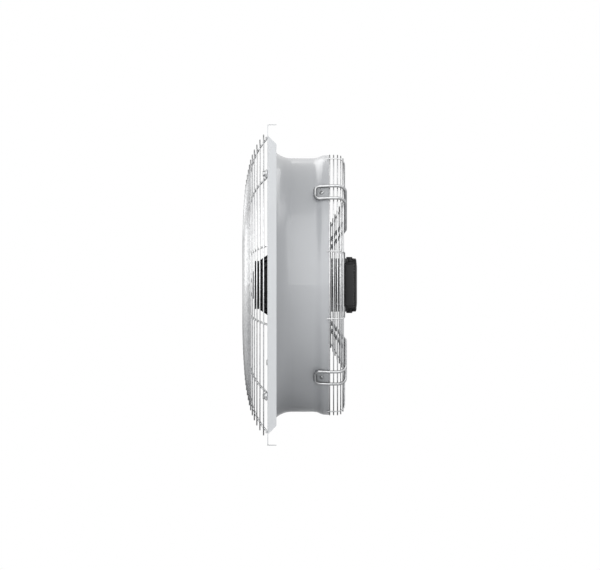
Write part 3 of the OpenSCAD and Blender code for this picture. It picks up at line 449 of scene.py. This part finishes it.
def finish_piece(bm, name, body, slot, replaces=(), sharp=35, material=None):
    bmesh.ops.recalc_face_normals(bm, faces=bm.faces)
    if bm.calc_volume(signed=True) < 0:
        bmesh.ops.reverse_faces(bm, faces=bm.faces)
    mesh = bpy.data.meshes.new(name)
    bm.to_mesh(mesh)
    bm.free()
    mesh.shade_smooth()
    mesh.set_sharp_from_angle(angle=math.radians(sharp))
    mesh.materials.append(material or finishes[slot])
    piece = bpy.data.objects.new(name, mesh)
    bpy.context.scene.collection.objects.link(piece)
    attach(piece, body)
    if replaces:
        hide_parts(*replaces)
    print(name, "faces:", len(mesh.polygons))


# %% [markdown]
# A real casting or moulding has no knife edges. The solids' edges are exact, so light never catches
# on them. A copy of each such solid is merged, its flat faces are joined again, and every
# edge that turns by more than a set angle gets a small round. The copy then stands for the solid.
# A solid may first lose the shape of a cutter, or get a wide round on edges that a test picks out.

# %% Write the rounding of castings and mouldings
merge_gap = 0.002 * mm
flat_turn = math.radians(0.6)
edge_turn = math.radians(28)


def merged_copy(node):
    bm = bmesh.new()
    bm.from_mesh(solids[node].data)
    bmesh.ops.remove_doubles(bm, verts=bm.verts, dist=merge_gap)
    return bm


def carved(bm, cutter):
    parts = []
    for shape in (bm, cutter):
        mesh = bpy.data.meshes.new("carving")
        shape.to_mesh(mesh)
        shape.free()
        parts.append(bpy.data.objects.new("carving", mesh))
        bpy.context.scene.collection.objects.link(parts[-1])
    cut = parts[0].modifiers.new("pockets", "BOOLEAN")
    cut.operation = "DIFFERENCE"
    cut.solver = "EXACT"
    cut.object = parts[1]
    bpy.context.view_layer.update()
    shown = parts[0].evaluated_get(bpy.context.evaluated_depsgraph_get())
    result = bpy.data.meshes.new_from_object(shown)
    left = bmesh.new()
    left.from_mesh(result)
    bpy.data.meshes.remove(result)
    for part in parts:
        mesh = part.data
        bpy.data.objects.remove(part)
        bpy.data.meshes.remove(mesh)
    return left


def rounded_copy(node, body, radius, segments=2, cutter=None, brim=None, brim_radius=0.0,
                 brim_segments=5):
    bm = merged_copy(node)
    bmesh.ops.dissolve_limit(bm, angle_limit=flat_turn, use_dissolve_boundaries=False,
                             verts=bm.verts, edges=bm.edges)
    if cutter:
        bm = carved(bm, cutter)
    if brim:
        soften(bm, [e for e in bm.edges if all(brim(v.co) for v in e.verts)], brim_radius,
               brim_segments)
    edges = [e for e in bm.edges if len(e.link_faces) == 2 and e.calc_face_angle(0) > edge_turn]
    soften(bm, edges, radius, segments)
    finish_piece(bm, node + "_rounded", body, slot_of[node], (node,), sharp=40)


# %% [markdown]
# The box is moulded with two small pockets in each corner, where the tool's slides shut off. They
# are cut with a boolean before the edges are rounded, so that the pockets get soft edges too. Each
# cutter starts from a cube that is stretched, turned by 45 degrees and set into the corner. Where a
# pocket ends is measured from the fan axis out, and the cutter reaches well past the box from there.

# %% Cut the corner pockets of the terminal box
pocket_floor = 71.6
cutter_length = 10
pocket_shapes = ((164.5, 3.8, 9.2), (173.4, 4.8, 8.0))
pockets = bmesh.new()
for turn in quarter_angles:
    for middle, depth, width in pocket_shapes:
        place = (about_axis(turn) @ at(pocket_floor + cutter_length / 2, middle, 0)
                 @ stretched(cutter_length, depth, width))
        bmesh.ops.create_cube(pockets, size=1, matrix=place)
rounded_copy("terminal_box", "frame", 0.5, cutter=pockets)

# %% [markdown]
# The lid's face runs into its sides over a wide soft curve, much wider than the other roundings. So
# the edge where the face meets the sides is picked out by its place on the lid's outline, and gets
# a bevel of its own first.

# %% Soften the lid's brim
corner_centre, corner_reach, brim_level = 46.5 * mm, 7.9 * mm, 180.7 * mm


def on_brim(point):
    past = [max(0, abs(v) - corner_centre) for v in (point.x, point.z)]
    return point.y > brim_level and math.hypot(*past) > corner_reach


rounded_copy("terminal_box_lid", "frame", 0.4, brim=on_brim, brim_radius=2.5)

# %% [markdown]
# Two sides of the box carry a raised field with a coarser spark-eroded texture, which looks a shade
# lighter than the smooth plastic round it. A flat grid face is extruded to a unit block, stretched
# to the field's size and rounded where it shows. The block starts just inside the box's side.

# %% Raise the textured side fields
field_half_height, field_half_depth, field_raise = 41, 7.8, 0.35
field_y, field_foot = 168.25, 54.48
field_round = 0.25
box_texture = skin("box_side_texture", (0.047, 0.047, 0.0475), 0.6, 1100, bump=0.45, dust=0.03,
                   specular=0.3)


def lay_into(bm, part, place):
    bmesh.ops.transform(part, matrix=place, verts=part.verts)
    laid = bpy.data.meshes.new("laid_part")
    part.to_mesh(laid)
    part.free()
    bm.from_mesh(laid)
    bpy.data.meshes.remove(laid)


bm = bmesh.new()
for side in (-1, 1):
    field = bmesh.new()
    bmesh.ops.create_grid(field, x_segments=1, y_segments=1, size=1)
    walls = bmesh.ops.extrude_face_region(field, geom=field.faces[:])
    lifted = [v for v in walls["geom"] if isinstance(v, bmesh.types.BMVert)]
    bmesh.ops.translate(field, vec=(0, 0, 1), verts=lifted)
    bmesh.ops.transform(field, matrix=stretched(field_half_height, field_half_depth, field_raise),
                        verts=field.verts)
    soften(field, [e for e in field.edges if any(v.co.z > 0 for v in e.verts)], field_round, 2)
    lay_into(bm, field, at(side * field_foot, field_y, 0) @ about_axis(90 * side))
finish_piece(bm, "box_side_fields", "frame", "box_plastic", material=box_texture)

# %% [markdown]
# The mounting plate, hub cap, plugs and saddles only need their small rounds. The mouldings get
# three segments, because their rounds are wide enough to be seen as curves.

# %% Round the other castings and mouldings
rounded_copy("carrier_plate", "frame", 0.4)
rounded_copy("hub_cap", "impeller", 0.6, 3)
rounded_copy("blanking_plugs", "frame", 0.5, 3)
rounded_copy("arm_saddles", "frame", 0.3)

# %% [markdown]
# The blades come as lofts of small triangles. Merging a copy lets the shading run smoothly over
# both faces, while the sharp turn at the trailing edge and at the tip stays crisp.

# %% Smooth the blades
finish_piece(merged_copy("impeller_blades"), "blades_smooth", "impeller", "blade_plastic",
             ("impeller_blades",), sharp=50)

# %% [markdown]
# Small turned parts decide whether a machine looks real at close range. Every screw and nut here is
# made the same way: a half profile is spun round in 24 steps, and then the loops that should be a
# hexagon or a cross are pushed from a circle to that outline. At 24 steps there is a point at every
# 15 degrees, which falls on each corner of both outlines. A chamfered hexagon also dips towards its
# corners, from a circle that is a little narrower than its flats.

# %% Turn a profile and shape its hexagons and crosses
spin_steps = 24
spin_merge = 0.001 * mm
point_digits = 7
hex_corner = 30
cross_corner = 15
chamfer_slope = math.tan(math.radians(30))
chamfer_start_share = 0.94


def hex_reach(turn, flats):
    return flats / 2 / math.cos(math.radians(turn % 60 - hex_corner))


def cross_reach(turn, length):
    fold = abs((turn + 45) % 90 - 45)
    if fold < cross_corner + 1:
        return length / math.cos(math.radians(fold))
    return length * math.tan(math.radians(cross_corner)) / math.sin(math.radians(fold))


def turned(bm, profile, place):
    part = bmesh.new()
    outline = {(round(r, point_digits), round(z, point_digits)): kind for r, z, kind in profile}
    points = [part.verts.new((r, 0, z)) for r, z, kind in profile]
    edges = [part.edges.new(pair) for pair in zip(points, points[1:])]
    bmesh.ops.spin(part, geom=points + edges, cent=(0, 0, 0), axis=(0, 0, 1), angle=math.tau,
                   steps=spin_steps, use_merge=True)
    bmesh.ops.remove_doubles(part, verts=part.verts, dist=spin_merge)
    for vert in part.verts:
        reach = math.hypot(vert.co.x, vert.co.y)
        kind = outline.get((round(reach, point_digits), round(vert.co.z, point_digits)), "round")
        if kind == "round" or reach == 0:
            continue
        turn = round(math.degrees(math.atan2(vert.co.y, vert.co.x)))
        wide = cross_reach(turn, reach) if kind == "cross" else hex_reach(turn, 2 * reach)
        vert.co.xy *= wide / reach
        dip = (wide - chamfer_start_share * reach) * chamfer_slope
        if kind == "hex top":
            vert.co.z -= dip
        elif kind == "hex foot":
            vert.co.z += dip
    lay_into(bm, part, place)


# %% [markdown]
# The shank carries its thread as closely spaced rings. A true helix can't be told from rings at
# this size, and rings keep the mesh closed. The pan head has a low dome with a cross recess, and
# the hexagon head and the nut have the round chamfer that leaves a curved line on each flat. A
# profile is a list of radius, height and kind of outline, in millimetres and shares of the head.

# %% Write the profiles of screws and nuts
pitch_share = 0.16
thread_depth_share = 0.5
flats_share = 1.67
hex_head_share = 0.67
nut_share = 0.83
pan_width_share, pan_height_share = 1.7, 0.62
recess_share = 0.56
dome_shares = ((1, 0, "round"), (1, 0.58, "round"), (0.93, 0.72, "round"), (0.8, 0.85, "round"),
               (0.64, 0.95, "round"), (recess_share, 0.985, "cross"),
               (recess_share * 0.9, 0.4, "cross"), (0, 0.34, "round"))
collar = 0.3
collar_share, top_share = 0.95, 0.9
bore_chamfer = 0.4
seat = 0.02


def shank_profile(d, length):
    pitch = d * pitch_share
    core = d / 2 - pitch * thread_depth_share
    points = [(0, -length, "round"), (core, -length, "round")]
    turns = int((length - pitch) / pitch)
    for i in range(turns):
        root = pitch * (i + 0.5) - length
        points += [(core, root, "round"), (d / 2, root + pitch / 2, "round")]
    return points + [(core, pitch * (turns + 0.5) - length, "round"), (d / 2, 0, "round")]


def metres(points):
    return [(r * mm, z * mm, kind) for r, z, kind in points]


def pan_screw(bm, place, d, length, head_d=0, head_h=0):
    head_r = (head_d or d * pan_width_share) / 2
    height = head_h or d * pan_height_share
    head = [(head_r * r, height * z, kind) for r, z, kind in dome_shares]
    turned(bm, metres(shank_profile(d, length) + head), place)


def hex_screw(bm, place, d, length):
    flat = d * flats_share / 2
    height = d * hex_head_share
    turned(bm, metres(shank_profile(d, length) + [
        (flat * collar_share, 0, "round"), (flat * collar_share, collar, "round"),
        (flat, collar, "hex"), (flat, height, "hex top"), (flat * top_share, height, "round"),
        (0, height, "round"),
    ]), place)


def hex_nut(bm, place, d):
    flat = d * flats_share / 2
    height = d * nut_share
    bore = d / 2 + seat
    mouth = bore + bore_chamfer
    turned(bm, metres([
        (bore, bore_chamfer, "round"), (mouth, 0, "round"), (flat * top_share, 0, "round"),
        (flat, 0, "hex foot"), (flat, height, "hex top"), (flat * top_share, height, "round"),
        (mouth, height, "round"), (bore, height - bore_chamfer, "round"),
        (bore, bore_chamfer, "round"),
    ]), place)


# %% [markdown]
# Each screw is put where its solid sits. The places repeat the fan's own layout: rings of equal
# places about the fan axis, and squares on the terminal box. A place is a matrix whose Z points
# out of the seat, so that one profile serves them all. Only the arms' screws take some work: they
# stand square on the flare, whose two curves start at the throat and end at the duct's edge.

# %% Work out where screws and nuts sit
to_front = Matrix.Rotation(math.radians(90), 4, "X")
to_rear = Matrix.Rotation(math.radians(-90), 4, "X")
quarters = [about_axis(angle) for angle in quarter_angles]
sheet_t = 1.5
duct_length, throat_outer_r = 125.5, 258.75
flare_r, flare_exit_length = 25, 9
flare_slope, flare_exit = math.radians(28), math.radians(4)
arm_screw_turn = 105
outer_curve_r = flare_r + sheet_t
both_curves = flare_r + outer_curve_r
flare_start = (duct_length - flare_exit_length * math.cos(flare_exit)
               - both_curves * math.sin(flare_slope) + outer_curve_r * math.sin(flare_exit))
flare_centre = at(throat_outer_r + flare_r - both_curves * math.cos(flare_slope), 0,
                  flare_start + both_curves * math.sin(flare_slope))
on_flare = flare_centre @ about_axis(arm_screw_turn) @ at(0, 0, outer_curve_r)
arm_places = [turn @ to_rear @ on_flare for turn in quarters]
guard_screw_r, washer_face = 320.886, -5.64
earth_x, earth_z = 290, -158
arm_screw_seat, arm_nut_seat = 2.2, -6.25
carrier_screw_r, carrier_face = 64.3, 110.04
cap_screw_r, cap_face = 19, -30.64
lid_screw_x, lid_seat = 47.5, 179.44
box_screw_x, box_seat = 36.7, 160.64


def square(half, y):
    return [at(x * half, y, z * half) @ to_rear for x in (-1, 1) for z in (-1, 1)]


print("arm screws at:", [[round(v / mm) for v in place.to_translation()] for place in arm_places])

# %% [markdown]
# Each node of screws or nuts becomes one new piece, as its solids are one node. Sizes are the
# thread's diameter, the length under the head and, for the flat earth screw, the head's own size.

# %% Make the screws and nuts
def fasteners(node, body, make, places, **sizes):
    bm = bmesh.new()
    for place in places:
        make(bm, place, **sizes)
    finish_piece(bm, node + "_cut", body, "zinc_fasteners", (node,), sharp=25)


fasteners("guard_screws", "frame", hex_screw,
          [turn @ at(guard_screw_r, washer_face - seat, 0) @ to_front for turn in quarters],
          d=6, length=12.72)
fasteners("guard_screw_nuts", "frame", hex_nut,
          [turn @ at(guard_screw_r, sheet_t + seat, 0) @ to_rear for turn in quarters], d=6)
fasteners("earth_screw", "frame", pan_screw, [at(earth_x, -seat, earth_z) @ to_front],
          d=6, length=7.08, head_d=11.5, head_h=2.2)
fasteners("earth_nut", "frame", hex_nut, [at(earth_x, sheet_t + seat, earth_z) @ to_rear], d=6)
fasteners("arm_screws", "frame", pan_screw, [place @ at(0, 0, arm_screw_seat) for place in arm_places],
          d=5, length=9.05)
fasteners("arm_nuts", "frame", hex_nut, [place @ at(0, 0, arm_nut_seat) for place in arm_places], d=5)
fasteners("carrier_screws", "frame", pan_screw,
          [about_axis(90 * i) @ at(carrier_screw_r, carrier_face, 0) @ to_rear for i in range(4)],
          d=6, length=12)
fasteners("hub_cap_screws", "impeller", pan_screw,
          [about_axis(90 + 120 * i) @ at(cap_screw_r, cap_face, 0) @ to_front for i in range(3)],
          d=5, length=4.3)
fasteners("lid_screws", "frame", pan_screw, square(lid_screw_x, lid_seat), d=4, length=9.4)
fasteners("box_screws", "frame", pan_screw, square(box_screw_x, box_seat), d=3, length=11.4)

# %% [markdown]
# The weld beads need to know where the guards' rings run. The intake guard's dome is a flat middle
# and then three arcs, each with its radius and the angle at which it ends. A point on it is found
# from its distance to the fan axis, arc by arc. The result is its depth and its slope.

# %% Follow the dome
guard_ring_r, guard_pitch, guard_rings, guard_spokes = 305.9, 10.22, 27, 12
guard_flat_r, guard_height = 75.6, 49.9
dome_arcs = ((1400, 4.6), (400, 13.5), (145, 44))


def dome_point(radius):
    start_r, start_y, start_turn = guard_flat_r, -guard_height, 0.0
    if radius <= start_r:
        return -guard_height, 0.0
    for big, last_turn in dome_arcs:
        sine = min(1, math.sin(start_turn) + (radius - start_r) / big)
        end = math.radians(last_turn)
        if math.asin(sine) <= end:
            break
        start_r += big * (math.sin(end) - math.sin(start_turn))
        start_y += big * (math.cos(start_turn) - math.cos(end))
        start_turn = end
    turn = math.asin(sine)
    return start_y + big * (math.cos(start_turn) - math.cos(turn)), turn


print("dome at its edge:", dome_point(guard_ring_r))

# %% [markdown]
# The outlet guard's rings run over a barrel, a bend, a flat face and a cone that leads back in to
# the motor. Each ring is kept as its radius, its depth and its lean. The lean is the angle of the
# outward normal from the fan axis towards the rim, so it is 90 on the barrel and 0 on the face.

# %% Follow the outlet guard
basket_ring_r, barrel_y, barrel_rings = 264.701, 127, 3
face_y, face_ring_r, face_rings, basket_pitch = 155, 176.301, 9, 9.08
bend_r, bend_turns = 12, (33, 67)
cone_edge_r, cone_ring_r, cone_rings, cone_slope = 174.501, 167.301, 9, 28.6
bend_y = face_y - bend_r
cone_step = basket_pitch * math.cos(math.radians(cone_slope))
cone_rise = math.tan(math.radians(cone_slope))
basket_rings = [(basket_ring_r, barrel_y + i * (bend_y - barrel_y) / (barrel_rings - 1), 90)
                for i in range(barrel_rings)]
basket_rings += [(basket_ring_r - bend_r + bend_r * math.cos(math.radians(turn)),
                  bend_y + bend_r * math.sin(math.radians(turn)), 90 - turn) for turn in bend_turns]
basket_rings += [(face_ring_r + i * basket_pitch, face_y, 0) for i in range(face_rings)]
basket_rings += [(cone_ring_r - i * cone_step,
                  face_y - (cone_edge_r - cone_ring_r + i * cone_step) * cone_rise, -cone_slope)
                 for i in range(cone_rings)]
print("outlet guard rings:", len(basket_rings))

# %% [markdown]
# A wire guard is held together by spot welds. Where two wires are pressed into each other the zinc
# shows a small swollen bead on both sides of the crossing. There are hundreds, so each bead is only
# a flattened ball of a few dozen faces, laid along the ring and half sunk between the wires. A
# bead's size is its half width across the ring, its half height and its half length.

# %% Set the weld beads
guard_bead, guard_bead_rise = (1.9, 0.9, 2.9), 1.35
wire_bead, wire_bead_rise = (1.6, 0.8, 2.1), 1.3
arm_bead, arm_bead_rise = (1.7, 0.9, 2.9), 1.4
first_spoke, spoke_step = 45, 360 / guard_spokes
ball = bpy.data.meshes.new("weld_ball")
bm = bmesh.new()
bmesh.ops.create_uvsphere(bm, u_segments=8, v_segments=5, radius=1)
bm.to_mesh(ball)
bm.free()


def bead(bm, azimuth, radius, y, lean, rise, size):
    place = about_axis(azimuth) @ at(radius, y, 0) @ Matrix.Rotation(math.radians(-lean), 4, "Z")
    laid = ball.copy()
    laid.transform(place @ at(0, rise, 0) @ stretched(*size))
    bm.from_mesh(laid)
    bpy.data.meshes.remove(laid)


bm = bmesh.new()
for i in range(guard_rings):
    radius = guard_ring_r - i * guard_pitch
    y, turn = dome_point(radius)
    for spoke in range(guard_spokes):
        bead(bm, first_spoke + spoke_step * spoke, radius, y, -math.degrees(turn), guard_bead_rise,
             guard_bead)
finish_piece(bm, "guard_weld_beads", "frame", "guard_wire", sharp=60, material=welds)

# %% [markdown]
# The outlet guard's rings are welded to its thin wires, which stand 30 degrees to both sides of each
# arm, and to the arms themselves. The two wires of an arm close in towards the motor, so each ring
# meets them at its own angle.

# %% Set the outlet guard's beads
arm_half_width, arm_outer_r = 17.4, 268.356
arm_taper = math.tan(math.radians(2.35))
thin_wire_turn = 30


def arm_offset(radius):
    return arm_half_width - max(0, arm_outer_r - radius) * arm_taper


bm = bmesh.new()
for radius, y, lean in basket_rings:
    azimuth = math.degrees(math.asin(arm_offset(radius) / radius))
    for middle in quarter_angles:
        for side in (-1, 1):
            bead(bm, middle + thin_wire_turn * side, radius, y, lean, wire_bead_rise, wire_bead)
            bead(bm, middle + azimuth * side, radius, y, lean, arm_bead_rise, arm_bead)
finish_piece(bm, "basket_weld_beads", "frame", "basket_wire", sharp=60, material=welds)

# %% [markdown]
# The ends of the arms lie flat on the round mounting plate and carry the whole motor, so they get
# real weld seams. A seam is a row of overlapping drops on both sides of the wire. It is built from
# the same ball, wider than the wire and set along the last centimetres of each end.

# %% Weld the arms' ends to the mounting plate
foot_start, foot_end, seam_drops = 63.5, 82.5, 9
seam_drop = (1.9, 1.7, 4.4)
bm = bmesh.new()
for middle in quarter_angles:
    for side in (-1, 1):
        for drop in range(seam_drops):
            along = foot_start + (foot_end - foot_start) * drop / (seam_drops - 1)
            off = arm_offset(along)
            azimuth = math.degrees(math.atan2(off, along))
            bead(bm, middle + azimuth * side, math.hypot(off, along), carrier_face, 0, 0, seam_drop)
finish_piece(bm, "arm_weld_seams", "frame", "arm_wire", sharp=70, material=welds)
